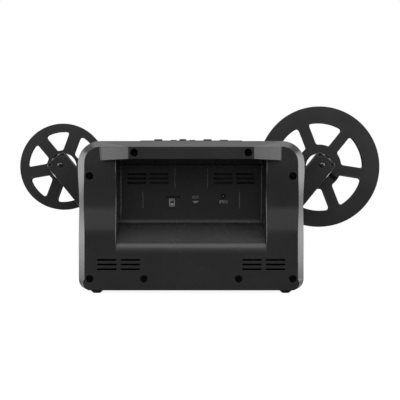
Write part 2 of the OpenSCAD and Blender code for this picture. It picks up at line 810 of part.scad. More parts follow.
module arm_screw_places() for (s = [-1, 1]) translate([arm_screw_at[0], 0, s * arm_screw_at[1]]) children();

module arm_housing() color([0.14, 0.14, 0.145]) {
    over = 1;
    back = arm_front - arm_cover_t;
    difference() {
        union() {
            difference() {
                forward(arm_y, back) arm_outline(0);
                forward(arm_y + arm_wall, back + over) arm_outline(arm_wall);
            }
            rod([0, 0], arm_y + arm_wall / 2, back, pivot_r + 3);
            arm_screw_places() rod([0, 0], arm_y + arm_wall / 2, back, 3);
        }
        rod([0, 0], arm_y - over, back + over, pivot_r + run_gap);
        rod([arm_l, 0], arm_y - over, arm_y + arm_wall + over, spindle_r + run_gap);
        arm_screw_places() {
            rod([0, 0], arm_y - over, arm_y + 1.4, 1.75);
            rod([0, 0], arm_y, back + over, 0.8 + run_gap);
        }
    }
}

module arm_cover() color([0.13, 0.13, 0.135]) difference() {
    forward(arm_front - arm_cover_t, arm_front) arm_outline(0);
    rod([0, 0], arm_y, arm_front + 1, pivot_r + run_gap);
    rod([arm_l, 0], arm_y, arm_front + 1, spindle_r + run_gap);
}

module arm_screws() color([0.2, 0.2, 0.2]) arm_screw_places() {
    rod([0, 0], arm_y + 0.4, arm_y + 1.4, 1.6);
    rod([0, 0], arm_y + 1.4, arm_front - arm_cover_t, 0.8);
}

collar_r = 10;

module spindle() color("silver") {
    nose = 5;
    dome = 2.2;
    rod([arm_l, 0], arm_y, reel_y + reel_t + nose, spindle_r);
    translate([arm_l, -arm_y, 0]) intersection() {
        translate([0, dome - 5.5, 0]) sphere(r = 5.5);
        rotate([-90, 0, 0]) cylinder(r = spindle_r, h = 6);
    }
    rod([arm_l, 0], arm_front + slip, reel_y - 0.1, collar_r);
}

motor_at = 36;
motor_pulley_r = 5;
take_up_pulley_r = 9;
pulley_near = arm_front - arm_cover_t - 5;
pulley_far = arm_front - arm_cover_t - 0.6;
belt_t = 1.2;

module supply_arm_housing() supply_side() arm_housing();
module supply_arm_cover() supply_side() arm_cover();
module supply_arm_screws() supply_side() arm_screws();
module supply_spindle() supply_side() spindle();

module brake_washer() color([0.5, 0.2, 0.15]) supply_side() difference() {
    rod([arm_l, 0], arm_y + arm_wall, arm_y + arm_wall + 3, 8);
    rod([arm_l, 0], arm_y, arm_y + arm_wall + 4, spindle_r + run_gap);
}

module take_up_arm_housing() take_up_side() arm_housing();
module take_up_arm_cover() take_up_side() arm_cover();
module take_up_arm_screws() take_up_side() arm_screws();
module take_up_spindle() take_up_side() spindle();

module take_up_motor() color("silver") take_up_side() difference() {
    rod([motor_at, 0], arm_y + arm_wall, pulley_near - 0.6, 11.5);
    rod([motor_at, 0], pulley_near - 8, pulley_near, 1 + run_gap);
}

module motor_pulley() color("gainsboro") take_up_side() {
    rod([motor_at, 0], pulley_near, pulley_far, motor_pulley_r);
    rod([motor_at, 0], pulley_near - 7, pulley_near + 1, 1);
}

module take_up_pulley() color("gainsboro") take_up_side() difference() {
    rod([arm_l, 0], pulley_near, pulley_far, take_up_pulley_r);
    rod([arm_l, 0], pulley_near - 1, pulley_far + 1, spindle_r + run_gap);
}

module belt_loop(grow) hull() {
    translate([motor_at, 0]) circle(motor_pulley_r + grow, $fn = 32);
    translate([arm_l, 0]) circle(take_up_pulley_r + grow, $fn = 32);
}

module drive_belt() color([0.05, 0.05, 0.05]) take_up_side()
    forward(pulley_near + 1, pulley_far - 1) difference() {
        belt_loop(belt_t + slip + 0.1);
        belt_loop(slip + 0.1);
    }

// Reels: two windowed flanges on a hub, in place on their spindles

window_corner = 5.5;

function window_points(r_in, r_out, spoke, a) = let (
    h = spoke / 2,
    c = window_corner,
    lead = function (r) asin(h / r),
    out_0 = a + lead(r_out) + c / r_out * 180 / PI,
    out_1 = a + 60 - lead(r_out) - c / r_out * 180 / PI,
    in_0 = a + lead(r_in) + c / 2 / r_in * 180 / PI,
    in_1 = a + 60 - lead(r_in) - c / 2 / r_in * 180 / PI,
    first = function (r) polar(r, a + lead(r)),
    last = function (r) polar(r, a + 60 - lead(r))
) concat(
    bend(first(r_out - c), first(r_out), polar(r_out, out_0), 6),
    [for (i = [1:7]) polar(r_out, out_0 + (out_1 - out_0) * i / 8)],
    bend(polar(r_out, out_1), last(r_out), last(r_out - c), 6),
    bend(last(r_in + c / 2), last(r_in), polar(r_in, in_1), 3),
    [for (i = [1:3]) polar(r_in, in_1 + (in_0 - in_1) * i / 4)],
    bend(polar(r_in, in_0), first(r_in), first(r_in + c / 2), 3)
);

module flange(at, near, r, core_r, window_r, spoke, start) translate([at[0], 0, at[1]])
    forward(near, near + flange_t) difference() {
        circle(r, $fn = 96);
        circle(hub_open_r);
        for (k = [0:5]) polygon(window_points(core_r + 0.6, window_r, spoke, start + 60 * k));
    }

module hub(at, core_r, bridge) translate([at[0], 0, at[1]]) {
    near = reel_y + flange_t;
    far = reel_y + reel_t - flange_t;
    difference() {
        rod([0, 0], near, far, core_r);
        rod([0, 0], near - 1, far + 1, hub_open_r);
    }
    difference() {
        union() {
            rod([0, 0], reel_y, reel_y + reel_t, spindle_r + 4);
            rotate([0, -bridge, 0]) box(about(0, hub_open_r + 1), [near + 1, far - 1], about(0, 3.5));
        }
        rod([0, 0], reel_y - 1, reel_y + reel_t + 1, spindle_r + run_gap);
    }
}

supply_at = [reel_x, reel_z];
take_up_at = [-reel_x, reel_z];
supply_window_r = supply_d / 2 - 11.4;
take_up_window_r = take_up_d / 2 - 23.8;
supply_spoke = 16.5;
take_up_spoke = 15;
supply_turn = -10;
take_up_turn = -51;
slot_turn = 39;
slot_half = 3.3;
front_face = reel_y + reel_t - flange_t;

module film_slot(reach, far) translate([take_up_at[0], 0, take_up_at[1]]) rotate([0, -180 - slot_turn, 0])
    box([hub_open_r - 2, reach], [reel_y - 1, far], [-slot_half, slot_half]);

module supply_hub() color([0.15, 0.15, 0.155]) hub(supply_at, supply_core_r, arm_tilt);
module take_up_hub() color([0.15, 0.15, 0.155]) difference() {
    hub(take_up_at, take_up_core_r, -arm_tilt);
    film_slot(take_up_core_r + 1, front_face + 0.001);
}

module supply_rear_flange() color([0.18, 0.18, 0.185])
    flange(supply_at, reel_y, supply_d / 2, supply_core_r, supply_window_r, supply_spoke, supply_turn);

module supply_front_flange() color([0.18, 0.18, 0.185])
    flange(supply_at, front_face, supply_d / 2, supply_core_r, supply_window_r, supply_spoke, supply_turn);

module take_up_rear_flange() color([0.18, 0.18, 0.185]) difference() {
    flange(take_up_at, reel_y, take_up_d / 2, take_up_core_r, take_up_window_r,
        take_up_spoke, take_up_turn);
    film_slot(take_up_core_r - 1, reel_y + flange_t + 0.001);
}

module take_up_front_flange() color([0.18, 0.18, 0.185])
    flange(take_up_at, front_face, take_up_d / 2, take_up_core_r, take_up_window_r,
        take_up_spoke, take_up_turn);

// Everything is placed so that the origin lies under the middle of the whole object

module place() translate([shift_x, shift_y, 0]) children();

place() front_cover();
place() rear_cover();
place() film_deck();
place() rubber_feet();
place() case_screws();
place() display_glass();
place() lcd_module();
place() main_board();
place() card_socket();
place() usb_socket();
place() dc_jack();
place() key_panel();
place() key_board();
place() power_key();
place() menu_key();
place() record_key();
place() pad_ok_key();
place() pad_left_key();
place() pad_right_key();
place() pad_rear_key();
place() pad_front_key();
place() film_channel();
place() gate_door();
place() gate_hinge_pin();
place() led_board();
place() light_diffuser();
place() camera_board();
place() camera_barrel();
place() camera_lens();
place() claw_motor();
place() claw_crank();
place() film_claw();
place() roller_pins();
place() film_roller_1();
place() film_roller_2();
place() film_roller_3();
place() film_roller_4();
place() arm_pivots();
place() supply_arm_housing();
place() supply_arm_cover();
place() supply_arm_screws();
place() brake_washer();
place() supply_spindle();
place() supply_hub();
place() supply_rear_flange();
place() supply_front_flange();
place() take_up_arm_housing();
place() take_up_arm_cover();
place() take_up_arm_screws();
place() take_up_motor();
place() motor_pulley();
place() drive_belt();
place() take_up_spindle();
place() take_up_pulley();
place() take_up_hub();
place() take_up_rear_flange();
place() take_up_front_flange();
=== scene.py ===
import json
import math

import bmesh
import bpy
from mathutils import Euler, Matrix, Vector
from mathutils.bvhtree import BVHTree


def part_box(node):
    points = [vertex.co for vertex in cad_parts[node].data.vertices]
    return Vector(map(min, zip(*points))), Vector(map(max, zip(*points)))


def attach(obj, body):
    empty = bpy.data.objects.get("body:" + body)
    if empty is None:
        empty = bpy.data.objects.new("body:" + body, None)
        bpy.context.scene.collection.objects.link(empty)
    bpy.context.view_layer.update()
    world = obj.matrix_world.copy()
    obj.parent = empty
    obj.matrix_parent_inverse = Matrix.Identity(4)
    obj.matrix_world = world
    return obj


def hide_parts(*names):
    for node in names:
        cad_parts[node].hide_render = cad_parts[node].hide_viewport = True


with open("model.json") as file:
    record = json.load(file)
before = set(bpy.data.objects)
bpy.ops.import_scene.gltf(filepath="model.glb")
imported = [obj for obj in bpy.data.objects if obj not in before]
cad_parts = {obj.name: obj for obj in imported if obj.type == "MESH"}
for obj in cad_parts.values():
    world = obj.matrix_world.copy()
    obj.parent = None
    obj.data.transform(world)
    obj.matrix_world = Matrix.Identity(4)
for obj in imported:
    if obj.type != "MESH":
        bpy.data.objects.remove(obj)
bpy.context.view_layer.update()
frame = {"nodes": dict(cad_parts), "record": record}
nodes = frame["nodes"]
scene = bpy.context.scene
scene.view_settings.view_transform = "Standard"
mm = 0.001  # signs and lines are listed in millimetres
print("frame loaded:", len(nodes), "nodes")


def radiansOf(turn):
    return [math.radians(a) for a in turn]


def turnBy(turn):
    return Euler(radiansOf(turn)).to_matrix().to_4x4()


# camera behind the scanner, level, about a third of the way up the body
camera = {"place": (0.0127, 1.0895, 0.0757), "turn": (90, 0, 180), "lens": 69.03, "sensor": 36,
          "shift": (0.022, 0.095), "far": 50}


def makeCamera():
    data = bpy.data.cameras.new("backCamera")
    data.lens = camera["lens"]
    data.sensor_width = camera["sensor"]
    data.shift_x, data.shift_y = camera["shift"]
    data.clip_end = camera["far"]
    data.dof.use_dof = False
    eye = bpy.data.objects.new("backCamera", data)
    eye.location = camera["place"]
    eye.rotation_euler = radiansOf(camera["turn"])
    scene.collection.objects.link(eye)
    scene.camera = eye


makeCamera()
print("camera placed")


# node helpers for the materials

def startMaterial(name):
    material = bpy.data.materials.new(name)
    material.use_nodes = True
    tree = material.node_tree
    shader = tree.nodes["Principled BSDF"]
    coords = tree.nodes.new("ShaderNodeTexCoord").outputs["Object"]
    return material, tree, shader, coords


def stretch(tree, coords, scale, turn=(0, 0, 0)):
    node = tree.nodes.new("ShaderNodeMapping")
    node.inputs["Rotation"].default_value = radiansOf(turn)
    node.inputs["Scale"].default_value = scale
    tree.links.new(coords, node.inputs["Vector"])
    return node.outputs["Vector"]


def noise(tree, coords, scale, detail, rough=0.5):
    node = tree.nodes.new("ShaderNodeTexNoise")
    node.inputs["Scale"].default_value = scale
    node.inputs["Detail"].default_value = detail
    node.inputs["Roughness"].default_value = rough
    tree.links.new(coords, node.inputs["Vector"])
    return node.outputs["Fac"]


def cells(tree, coords, scale):
    node = tree.nodes.new("ShaderNodeTexVoronoi")
    node.inputs["Scale"].default_value = scale
    tree.links.new(coords, node.inputs["Vector"])
    return node.outputs["Distance"]


def remap(tree, value, low, high, start=0.0, end=1.0):
    node = tree.nodes.new("ShaderNodeMapRange")
    for name, number in zip(("From Min", "From Max", "To Min", "To Max"), (low, high, start, end)):
        node.inputs[name].default_value = number
    tree.links.new(value, node.inputs["Value"])
    return node.outputs["Result"]


def combine(tree, operation, first, second):
    node = tree.nodes.new("ShaderNodeMath")
    node.operation = operation
    for socket, value in zip(node.inputs, (first, second)):
        if isinstance(value, (int, float)):
            socket.default_value = value
        else:
            tree.links.new(value, socket)
    return node.outputs["Value"]


def blendColour(tree, amount, first, second):
    node = tree.nodes.new("ShaderNodeMix")
    node.data_type = "RGBA"
    tree.links.new(amount, node.inputs["Factor"])
    for socket, value in ((node.inputs[6], first), (node.inputs[7], second)):  # colour sockets A and B
        if isinstance(value, tuple):
            socket.default_value = (*value, 1)
        else:
            tree.links.new(value, socket)
    return node.outputs[2]


def relief(tree, shader, *heights):
    normal = None
    for height, strength, distance in heights:
        node = tree.nodes.new("ShaderNodeBump")
        node.inputs["Strength"].default_value = strength
        node.inputs["Distance"].default_value = distance
        tree.links.new(height, node.inputs["Height"])
        if normal:
            tree.links.new(normal, node.inputs["Normal"])
        normal = node.outputs["Normal"]
    tree.links.new(normal, shader.inputs["Normal"])


def dress(tree, shader, colour, rough):
    tree.links.new(colour, shader.inputs["Base Color"])
    tree.links.new(rough, shader.inputs["Roughness"])


noiseSpan = (0.3, 0.7)  # most of a noise lies between these
wear = {"radius": 0.0005, "samples": 4, "turned": (0.97, 0.85), "patchy": (0.4, 0.65, 0.2, 0.8)}
# ranges for lightening upward faces: partly dust, partly painted top light
upwardDustAndLightRanges = {"upward": (0.5, 0.95), "patchy": (0.25, 0.75, 0.75, 1.0)}


def rubbedEdges(tree, patches):
    rounded = tree.nodes.new("ShaderNodeBevel")
    rounded.samples = wear["samples"]
    rounded.inputs["Radius"].default_value = wear["radius"]
    turned = tree.nodes.new("ShaderNodeVectorMath")
    turned.operation = "DOT_PRODUCT"
    tree.links.new(rounded.outputs["Normal"], turned.inputs[0])
    tree.links.new(tree.nodes.new("ShaderNodeNewGeometry").outputs["Normal"], turned.inputs[1])
    bare = remap(tree, turned.outputs["Value"], *wear["turned"])
    return combine(tree, "MULTIPLY", bare, remap(tree, patches, *wear["patchy"]))


# mask for the lighter colour on upward faces: partly dust, partly painted light from above
def upwardDustAndLight(tree, patches):
    upward = tree.nodes.new("ShaderNodeSeparateXYZ")
    tree.links.new(tree.nodes.new("ShaderNodeTexCoord").outputs["Normal"], upward.inputs["Vector"])
    thick = remap(tree, patches, *upwardDustAndLightRanges["patchy"])
    return combine(tree, "MULTIPLY", remap(tree, upward.outputs["Z"], *upwardDustAndLightRanges["upward"]), thick)


# moulded plastics: fine grain, faint clouds from the mould, rubbed edges, a few scuffs, and a dust colour on
# what looks up that is partly dust and partly painted light from above
plastics = {
    "casePlastic": {"dark": (0.0105, 0.0105, 0.011), "light": (0.013, 0.013, 0.0135),
                    "worn": (0.04, 0.04, 0.041), "dust": (0.042, 0.042, 0.042),
                    "rough": (0.24, 0.29), "grain": 1500, "depth": 0.03},
    "frontPlastic": {"dark": (0.0105, 0.0105, 0.011), "light": (0.013, 0.013, 0.0135),
                     "worn": (0.04, 0.04, 0.041), "dust": (0.037, 0.037, 0.037),
                     "rough": (0.25, 0.31), "grain": 1500, "depth": 0.03},
    "armPlastic": {"dark": (0.0105, 0.0105, 0.011), "light": (0.013, 0.013, 0.0135),
                   "worn": (0.045, 0.045, 0.046), "dust": (0.03, 0.03, 0.03),
                   "rough": (0.24, 0.3), "grain": 1700, "depth": 0.03},
    "reelPlastic": {"dark": (0.0145, 0.0145, 0.015), "light": (0.0175, 0.0175, 0.018),
                    "worn": (0.045, 0.045, 0.046), "dust": (0.03, 0.03, 0.03),
                    "rough": (0.2, 0.25), "grain": 1300, "depth": 0.03},
    "keyPlastic": {"dark": (0.014, 0.014, 0.0145), "light": (0.017, 0.017, 0.0175),
                   "worn": (0.04, 0.04, 0.041), "dust": (0.026, 0.026, 0.026),
                   "rough": (0.26, 0.34), "grain": 1900, "depth": 0.04},
    "gatePlastic": {"dark": (0.012, 0.012, 0.0125), "light": (0.016, 0.016, 0.0165),
                    "worn": (0.03, 0.03, 0.031), "dust": (0.022, 0.022, 0.022),
                    "rough": (0.42, 0.5), "grain": 1600, "depth": 0.1},
    "jackPlastic": {"dark": (0.003, 0.003, 0.003), "light": (0.005, 0.005, 0.005),
                    "worn": (0.012, 0.012, 0.012), "dust": (0.006, 0.006, 0.006),
                    "rough": (0.65, 0.8), "grain": 1500, "depth": 0.08},
}
mould = {"cloud": 22, "cloudDepth": 0.02, "cloudHeight": 0.0004, "grainHeight": 0.00006,
         "scuffLines": (60, 60, 900), "scuffTurn": (0, 12, 0), "scuffed": (0.7, 0.8, 0, 0.25)}


def mouldedPlastic(name):
    look = plastics[name]
    material, tree, shader, coords = startMaterial(name)
    grain = noise(tree, coords, look["grain"], 3, 0.6)
    cloud = noise(tree, coords, mould["cloud"], 4)
    scuff = noise(tree, stretch(tree, coords, mould["scuffLines"], mould["scuffTurn"]), 1, 2)
    colour = blendColour(tree, remap(tree, cloud, *noiseSpan), look["dark"], look["light"])
    colour = blendColour(tree, remap(tree, scuff, *mould["scuffed"]), colour, look["worn"])
    # upward faces take the lighter dust colour: partly dust, partly painted top light
    colour = blendColour(tree, upwardDustAndLight(tree, cloud), colour, look["dust"])
    colour = blendColour(tree, rubbedEdges(tree, cloud), colour, look["worn"])
    dress(tree, shader, colour, remap(tree, cloud, *noiseSpan, *look["rough"]))
    relief(tree, shader, (grain, look["depth"], mould["grainHeight"]),
           (cloud, mould["cloudDepth"], mould["cloudHeight"]))
    return material


finishes = {name: mouldedPlastic(name) for name in plastics}
print("plastics made:", len(finishes))

# metals: turned, drawn or blackened
metals = {
    "turnedSteel": {"low": (0.5, 0.5, 0.51), "high": (0.66, 0.66, 0.65), "rough": (0.22, 0.36),
                    "lines": (30, 4000, 30), "depth": 0.12},
    "sheetSteel": {"low": (0.46, 0.47, 0.48), "high": (0.6, 0.6, 0.6), "rough": (0.3, 0.42),
                   "lines": (2600, 40, 60), "depth": 0.1},
    "blackNickel": {"low": (0.05, 0.05, 0.052), "high": (0.08, 0.08, 0.082), "rough": (0.16, 0.24),
                    "lines": (20, 3000, 20), "depth": 0.04},
    "blackScrew": {"low": (0.012, 0.012, 0.012), "high": (0.03, 0.03, 0.032), "rough": (0.35, 0.5),
                   "lines": (500, 500, 500), "depth": 0.15},
    "turnedBrass": {"low": (0.48, 0.33, 0.12), "high": (0.62, 0.45, 0.19), "rough": (0.22, 0.34),
                    "lines": (40, 40, 3500), "depth": 0.12},
}
tooling = {"stain": 120, "stained": (0.3, 0.75), "height": 0.00005}


def machinedMetal(name):
    look = metals[name]
    material, tree, shader, coords = startMaterial(name)
    lines = noise(tree, stretch(tree, coords, look["lines"]), 1, 3)
    stain = noise(tree, coords, tooling["stain"], 3)
    colour = blendColour(tree, remap(tree, stain, *tooling["stained"]), look["high"], look["low"])
    dress(tree, shader, colour, remap(tree, lines, *noiseSpan, *look["rough"]))
    shader.inputs["Metallic"].default_value = 1
    relief(tree, shader, (lines, look["depth"], tooling["height"]))
    return material


for name in metals:
    finishes[name] = machinedMetal(name)
print("metals made:", len(metals))


def footRubber():
    look = {"clean": (0.01, 0.01, 0.01), "dusty": (0.03, 0.029, 0.028), "grain": 900, "dust": 160,
            "settled": (0.5, 0.8), "rough": (0.3, 0.8, 0.7, 0.9), "shine": 0.3, "relief": (0.35, 0.0002)}
    material, tree, shader, coords = startMaterial("footRubber")
    grain = noise(tree, coords, look["grain"], 4, 0.65)
    dust = noise(tree, coords, look["dust"], 5, 0.6)
    colour = blendColour(tree, remap(tree, dust, *look["settled"]), look["clean"], look["dusty"])
    dress(tree, shader, colour, remap(tree, dust, *look["rough"]))
    shader.inputs["Specular IOR Level"].default_value = look["shine"]
    relief(tree, shader, (grain, *look["relief"]))
    return material


def rollerPlastic():
    look = {"clean": (0.72, 0.71, 0.67), "rubbed": (0.6, 0.59, 0.55), "track": (60, 1500, 60), "tint": 180,
            "tinted": (0.35, 0.7), "rough": (0.2, 0.36), "relief": (0.12, 0.00008)}
    material, tree, shader, coords = startMaterial("rollerPlastic")
    track = noise(tree, stretch(tree, coords, look["track"]), 1, 2)
    tint = noise(tree, coords, look["tint"], 3)
    colour = blendColour(tree, remap(tree, tint, *look["tinted"]), look["clean"], look["rubbed"])
    dress(tree, shader, colour, remap(tree, track, *noiseSpan, *look["rough"]))
    relief(tree, shader, (track, *look["relief"]))
    return material


def opalDiffuser():
    look = {"low": (0.8, 0.81, 0.79), "high": (0.88, 0.88, 0.86), "haze": 900, "rough": (0.3, 0.4),
            "relief": (0.1, 0.0001)}
    material, tree, shader, coords = startMaterial("opalDiffuser")
    haze = noise(tree, coords, look["haze"], 3)
    colour = blendColour(tree, haze, look["low"], look["high"])
    dress(tree, shader, colour, remap(tree, haze, *noiseSpan, *look["rough"]))
    relief(tree, shader, (haze, *look["relief"]))
    return material


def brakeFelt():
    look = {"low": (0.2, 0.03, 0.025), "high": (0.36, 0.07, 0.05), "fuzz": 2200, "rough": 0.95, "sheen": 0.4,
            "relief": (0.6, 0.0003)}
    material, tree, shader, coords = startMaterial("brakeFelt")
    fuzz = noise(tree, coords, look["fuzz"], 5, 0.7)
    tree.links.new(blendColour(tree, fuzz, look["low"], look["high"]), shader.inputs["Base Color"])
    shader.inputs["Roughness"].default_value = look["rough"]
    shader.inputs["Sheen Weight"].default_value = look["sheen"]
    relief(tree, shader, (fuzz, *look["relief"]))
    return material


def circuitBoard():
    look = {"mask": (0.008, 0.06, 0.022), "trace": (0.016, 0.11, 0.045), "pad": (0.5, 0.48, 0.4),
            "runs": (900, 900, 60), "etched": (0.52, 0.54), "pads": 260, "tinned": (0.13, 0.11),
            "rough": (0.1, 0.15, 0.25, 0.42), "raised": (0.5, 0.56), "relief": (0.3, 0.0001)}
    material, tree, shader, coords = startMaterial("circuitBoard")
    runs = noise(tree, stretch(tree, coords, look["runs"]), 1, 1)
    pads = cells(tree, coords, look["pads"])
    colour = blendColour(tree, remap(tree, runs, *look["etched"]), look["mask"], look["trace"])
    colour = blendColour(tree, remap(tree, pads, *look["tinned"]), colour, look["pad"])
    dress(tree, shader, colour, remap(tree, pads, *look["rough"]))
    relief(tree, shader, (remap(tree, runs, *look["raised"]), *look["relief"]))
    return material


def displayGlass():
    look = {"tint": (0.42, 0.44, 0.46, 1), "smear": (14, 14, 30), "smearTurn": (0, 30, 0),
            "rough": (0.35, 0.75, 0.02, 0.07), "clear": 0.85, "bend": 1.5}
    material, tree, shader, coords = startMaterial("displayGlass")
    smear = noise(tree, stretch(tree, coords, look["smear"], look["smearTurn"]), 1, 4)
    shader.inputs["Base Color"].default_value = look["tint"]
    tree.links.new(remap(tree, smear, *look["rough"]), shader.inputs["Roughness"])
    shader.inputs["Transmission Weight"].default_value = look["clear"]
    shader.inputs["IOR"].default_value = look["bend"]
    return material


def displayPanel():
    look = {"frame": (0.006, 0.006, 0.007), "cells": (0.02, 0.022, 0.027), "rows": (4000, 40, 4000),
            "rough": (0.18, 0.26)}
    material, tree, shader, coords = startMaterial("displayPanel")
    rows = noise(tree, stretch(tree, coords, look["rows"]), 1, 1)
    colour = blendColour(tree, rows, look["frame"], look["cells"])
    dress(tree, shader, colour, remap(tree, rows, *noiseSpan, *look["rough"]))
    return material


def coatedLens():
    look = {"low": (0.015, 0.01, 0.035), "high": (0.03, 0.016, 0.06), "tint": 120, "rough": 0.04,
            "coatRough": 0.02}
    material, tree, shader, coords = startMaterial("coatedLens")
    tint = noise(tree, coords, look["tint"], 1)
    tree.links.new(blendColour(tree, tint, look["low"], look["high"]), shader.inputs["Base Color"])
    shader.inputs["Roughness"].default_value = look["rough"]
    shader.inputs["Coat Weight"].default_value = 1
    shader.inputs["Coat Roughness"].default_value = look["coatRough"]
    return material


def printedMark():
    look = {"thin": (0.3, 0.3, 0.3), "full": (0.4, 0.4, 0.4), "ink": 1400, "rough": (0.45, 0.6)}
    material, tree, shader, coords = startMaterial("printedMark")
    ink = noise(tree, coords, look["ink"], 3)
    colour = blendColour(tree, remap(tree, ink, *noiseSpan), look["thin"], look["full"])
    dress(tree, shader, colour, remap(tree, ink, *noiseSpan, *look["rough"]))
    return material


for make in (footRubber, rollerPlastic, opalDiffuser, brakeFelt, circuitBoard, displayGlass, displayPanel,
             coatedLens, printedMark):
    finishes[make.__name__] = make()
print("all finishes made:", len(finishes))

# stage: white sweep for the eye, key high over the grip bar, tall panels at both sides, dim room
stage = {"floor": 9.0, "white": (0.09, 0.09, 0.09), "shade": (0.07, 0.07, 0.07), "grain": 40, "rough": 0.9,
         "glow": 0.91, "room": 0.05, "ambient": 0.95, "backdrop": 0.32, "sweep": (-0.25, 0.3),
         "paper": (-0.02, 0.06), "paperGloss": 0.75}
panels = {
    "keyPanel": {"place": (0, 0.66, 1.04), "aim": (0, 0.04, 0.07), "size": (2.4, 0.8), "level": 2.1},
    "bandPanel": {"place": (0, 1.6, 0.83), "aim": (0, 0.04, 0.1), "size": (1.4, 0.52), "level": 0.62},
    "portPanel": {"place": (0.0127, 1.16, 0.18), "aim": (0.0127, 0, 0.13), "size": (0.5, 0.17), "level": 0.3},
    "overheadPanel": {"place": (0, -0.35, 1.12), "aim": (0, 0.03, 0.2), "size": (1.2, 0.6), "level": 0.95},
    "leftFill": {"place": (0.86, 0.82, 0.42), "aim": (0, 0, 0.12), "size": (0.7, 0.7), "level": 0.85},
    "rightFill": {"place": (-0.84, 0.82, 0.42), "aim": (0, 0, 0.12), "size": (0.7, 0.7), "level": 0.85},
    "leftPanel": {"place": (1.0, 0.08, 0.4), "aim": (0, 0.08, 0.4), "size": (1.15, 0.8), "level": 3.7},
    "rightPanel": {"place": (-0.98, 0.08, 0.4), "aim": (0, 0.08, 0.4), "size": (1.15, 0.8), "level": 3.7},
}


def paleFloor():
    bm = bmesh.new()
    bmesh.ops.create_grid(bm, x_segments=1, y_segments=1, size=stage["floor"] / 2)
    mesh = bpy.data.meshes.new("paleFloor")
    bm.to_mesh(mesh)
    bm.free()
    floor = bpy.data.objects.new("paleFloor", mesh)
    scene.collection.objects.link(floor)
    material, tree, shader, coords = startMaterial("paleFloor")
    paper = noise(tree, coords, stage["grain"], 3)
    tree.links.new(blendColour(tree, paper, stage["shade"], stage["white"]), shader.inputs["Base Color"])
    shader.inputs["Roughness"].default_value = stage["rough"]
    shader.inputs["Emission Color"].default_value = (1, 1, 1, 1)
    rays = tree.nodes.new("ShaderNodeLightPath")
    place = tree.nodes.new("ShaderNodeSeparateXYZ")
    tree.links.new(coords, place.inputs["Vector"])
    near = remap(tree, place.outputs["Y"], *stage["paper"], stage["paperGloss"], 0)
    seen = combine(tree, "MULTIPLY", rays.outputs["Is Camera Ray"], stage["glow"])
    mirrored = combine(tree, "MULTIPLY", rays.outputs["Is Glossy Ray"], near)
    tree.links.new(combine(tree, "ADD", seen, mirrored), shader.inputs["Emission Strength"])
    mesh.materials.append(material)


def whiteSweep():
    world = bpy.data.worlds.new("whiteSweep")
    scene.world = world
    world.use_nodes = True
    tree = world.node_tree
    rays = tree.nodes.new("ShaderNodeLightPath")
    towards = tree.nodes.new("ShaderNodeSeparateXYZ")
    tree.links.new(tree.nodes.new("ShaderNodeTexCoord").outputs["Generated"], towards.inputs["Vector"])
    sweep = remap(tree, towards.outputs["Y"], *stage["sweep"], stage["backdrop"], stage["room"])
    seen = combine(tree, "MAXIMUM", rays.outputs["Is Camera Ray"], rays.outputs["Is Transmission Ray"])
    mirrored = combine(tree, "MULTIPLY", rays.outputs["Is Glossy Ray"], sweep)
    spread = combine(tree, "MULTIPLY", rays.outputs["Is Diffuse Ray"], stage["ambient"])
    strength = combine(tree, "MAXIMUM", combine(tree, "MAXIMUM", seen, mirrored), spread)
    background = tree.nodes["Background"]
    tree.links.new(strength, background.inputs["Strength"])
    background.inputs["Color"].default_value = (1, 1, 1, 1)


def hangPanel(name):
    look = panels[name]
    lamp = bpy.data.lights.new(name, "AREA")
    lamp.shape = "RECTANGLE"
    lamp.size, lamp.size_y = look["size"]
    lamp.energy = look["level"] * math.pi * lamp.size * lamp.size_y
    holder = bpy.data.objects.new(name, lamp)
    holder.location = look["place"]
    way = Vector(look["aim"]) - Vector(look["place"])
    holder.rotation_euler = way.to_track_quat("-Z", "Y").to_euler()
    scene.collection.objects.link(holder)


paleFloor()
whiteSweep()
for name in panels:
    hangPanel(name)
print("stage lit")

# CAD nodes that show get rounded edges on a merged copy: finish, width of the round, nodes
shells = [
    ("casePlastic", 0.0002, ["rear_cover"]),
    ("frontPlastic", 0.0005, ["front_cover"]),
    ("frontPlastic", 0.0007, ["film_deck"]),
    ("footRubber", 0.0006, ["rubber_feet"]),
    ("displayGlass", 0.0002, ["display_glass"]),
    ("keyPlastic", 0.0005, ["key_panel"]),
    ("keyPlastic", 0.0006, ["power_key", "menu_key", "record_key", "pad_ok_key", "pad_left_key",
                            "pad_right_key", "pad_rear_key", "pad_front_key"]),
    ("gatePlastic", 0.0002, ["film_channel"]),
    ("gatePlastic", 0.0005, ["gate_door"]),
    ("rollerPlastic", 0.0003, ["film_roller_1", "film_roller_2", "film_roller_3", "film_roller_4"]),
    ("turnedSteel", 0.0002, ["roller_pins"]),
    ("turnedSteel", 0.0003, ["arm_pivots"]),
    ("armPlastic", 0.0012, ["supply_arm_housing", "take_up_arm_housing"]),
    ("armPlastic", 0.0011, ["supply_arm_cover", "take_up_arm_cover"]),
    ("blackNickel", 0.0003, ["supply_spindle", "take_up_spindle"]),
    ("reelPlastic", 0.0004, ["supply_hub", "take_up_hub"]),
    ("reelPlastic", 0.0003, ["supply_rear_flange", "supply_front_flange", "take_up_rear_flange",
                             "take_up_front_flange"]),
    ("sheetSteel", 0.0001, ["usb_socket", "card_socket"]),
    ("jackPlastic", 0.0001, ["dc_jack"]),
]
# sealed or small nodes keep the CAD shape and only get a finish
sealed = {
    "blackScrew": ["case_screws", "supply_arm_screws", "take_up_arm_screws"],
    "displayPanel": ["lcd_module"],
    "circuitBoard": ["main_board", "key_board", "led_board", "camera_board"],
    "turnedSteel": ["gate_hinge_pin", "claw_motor", "take_up_motor"],
    "opalDiffuser": ["light_diffuser"],
    "gatePlastic": ["camera_barrel"],
    "coatedLens": ["camera_lens"],
    "turnedBrass": ["claw_crank"],
    "sheetSteel": ["film_claw"],
    "brakeFelt": ["brake_washer"],
    "rollerPlastic": ["motor_pulley", "take_up_pulley"],
    "footRubber": ["drive_belt"],
}
bodyOf = {node: body for body, members in frame["record"]["behaviour"]["bodies"].items() for node in members}
edges = {"merge": 0.000002, "flat": 0.6, "sharp": 20, "segments": 2, "evenness": 100, "folded": 0.3}


